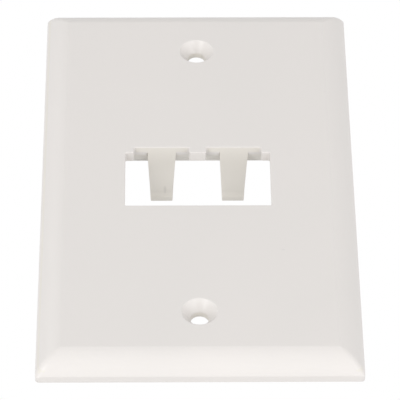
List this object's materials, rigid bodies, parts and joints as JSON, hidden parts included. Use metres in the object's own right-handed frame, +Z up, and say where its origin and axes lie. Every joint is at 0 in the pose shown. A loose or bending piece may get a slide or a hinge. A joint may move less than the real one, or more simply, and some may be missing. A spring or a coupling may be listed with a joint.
{
  "type": "keystone faceplate",
  "caption": "Single-gang wall faceplate with bevelled edges, countersunk screw holes and an open bay whose long spring fingers latch snap-in jack modules.",
  "frame": {"origin": "centre of the plane in which the plate's rim presses against the wall", "axes": "+Z up as mounted, -Y out of the wall towards the user, +Y into the wall box, +X to the right seen from the front"},
  "size_m": [0.0698, 0.0166, 0.1142],
  "materials": {
    "plate_plastic": "smooth satin, moulded in white"
  },
  "bodies": {
    "root": {"faceplate": "plate_plastic"}
  },
  "joints": []
}
